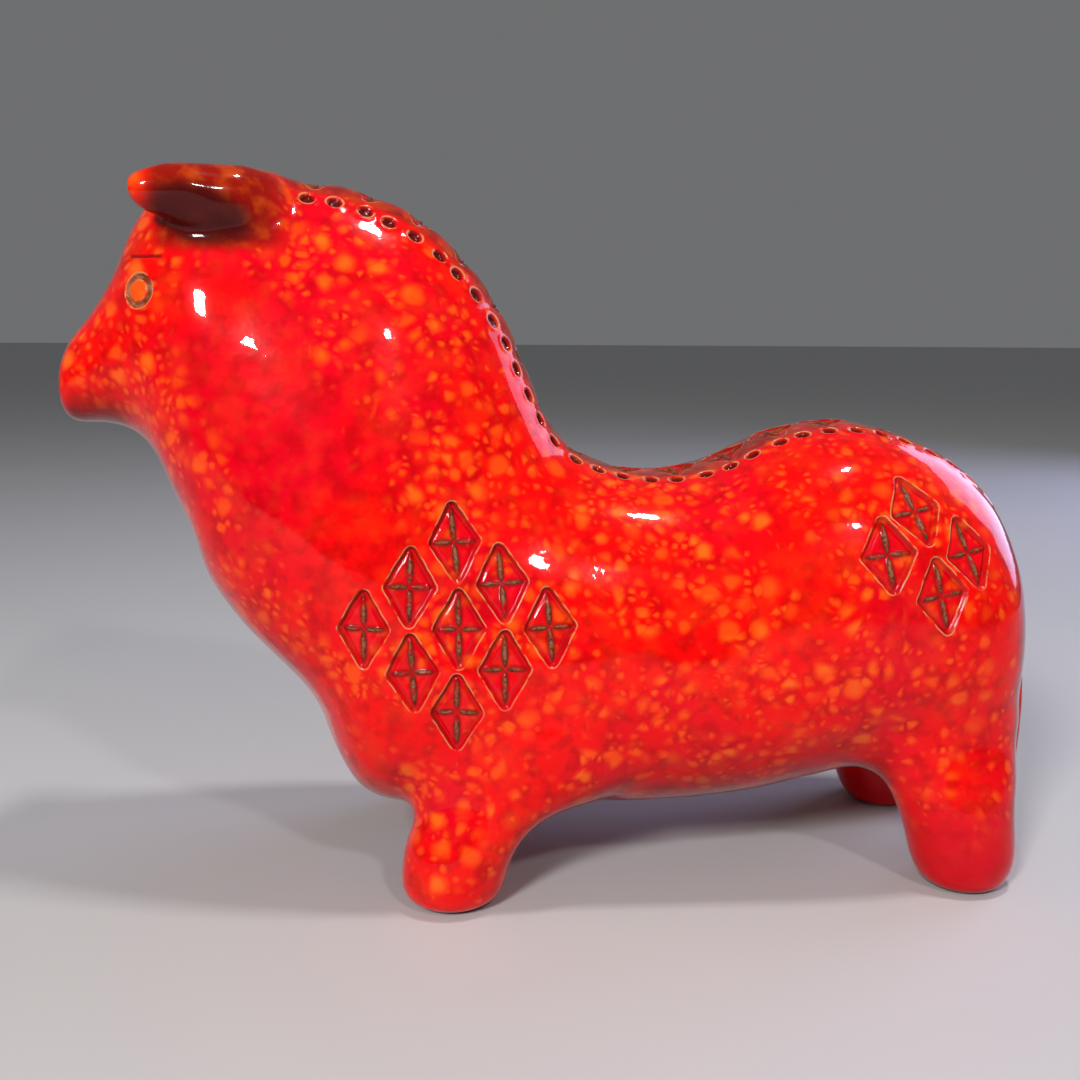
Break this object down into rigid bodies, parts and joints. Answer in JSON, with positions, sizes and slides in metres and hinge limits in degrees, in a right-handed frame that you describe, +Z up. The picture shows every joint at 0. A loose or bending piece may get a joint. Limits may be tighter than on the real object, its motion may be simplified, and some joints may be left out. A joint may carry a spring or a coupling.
{
  "type": "pottery horse figurine",
  "caption": "Free-standing hollow pottery horse with a plump body, short stub legs, small forward ears and a stamped folk pattern under a mottled red glaze.",
  "frame": {"origin": "middle of the bounding box at the level of the soles", "axes": "+X towards the rump (the nose points to -X), +Y towards the horse's right side, +Z up"},
  "size_m": [0.2743, 0.0984, 0.1916],
  "materials": {
    "red_glaze": "gloss, mottled red and orange glaze over an earthenware body",
    "ear_glaze": "gloss, thin maroon-brown glaze",
    "leg_glaze": "gloss, red glaze wiped back at the unglazed sole"
  },
  "bodies": {
    "root": {"left_body_shell": "red_glaze", "right_body_shell": "red_glaze", "front_left_leg": "leg_glaze", "front_right_leg": "leg_glaze", "hind_left_leg": "leg_glaze", "hind_right_leg": "leg_glaze", "left_ear": "ear_glaze", "right_ear": "ear_glaze", "tail": "red_glaze"}
  },
  "joints": []
}
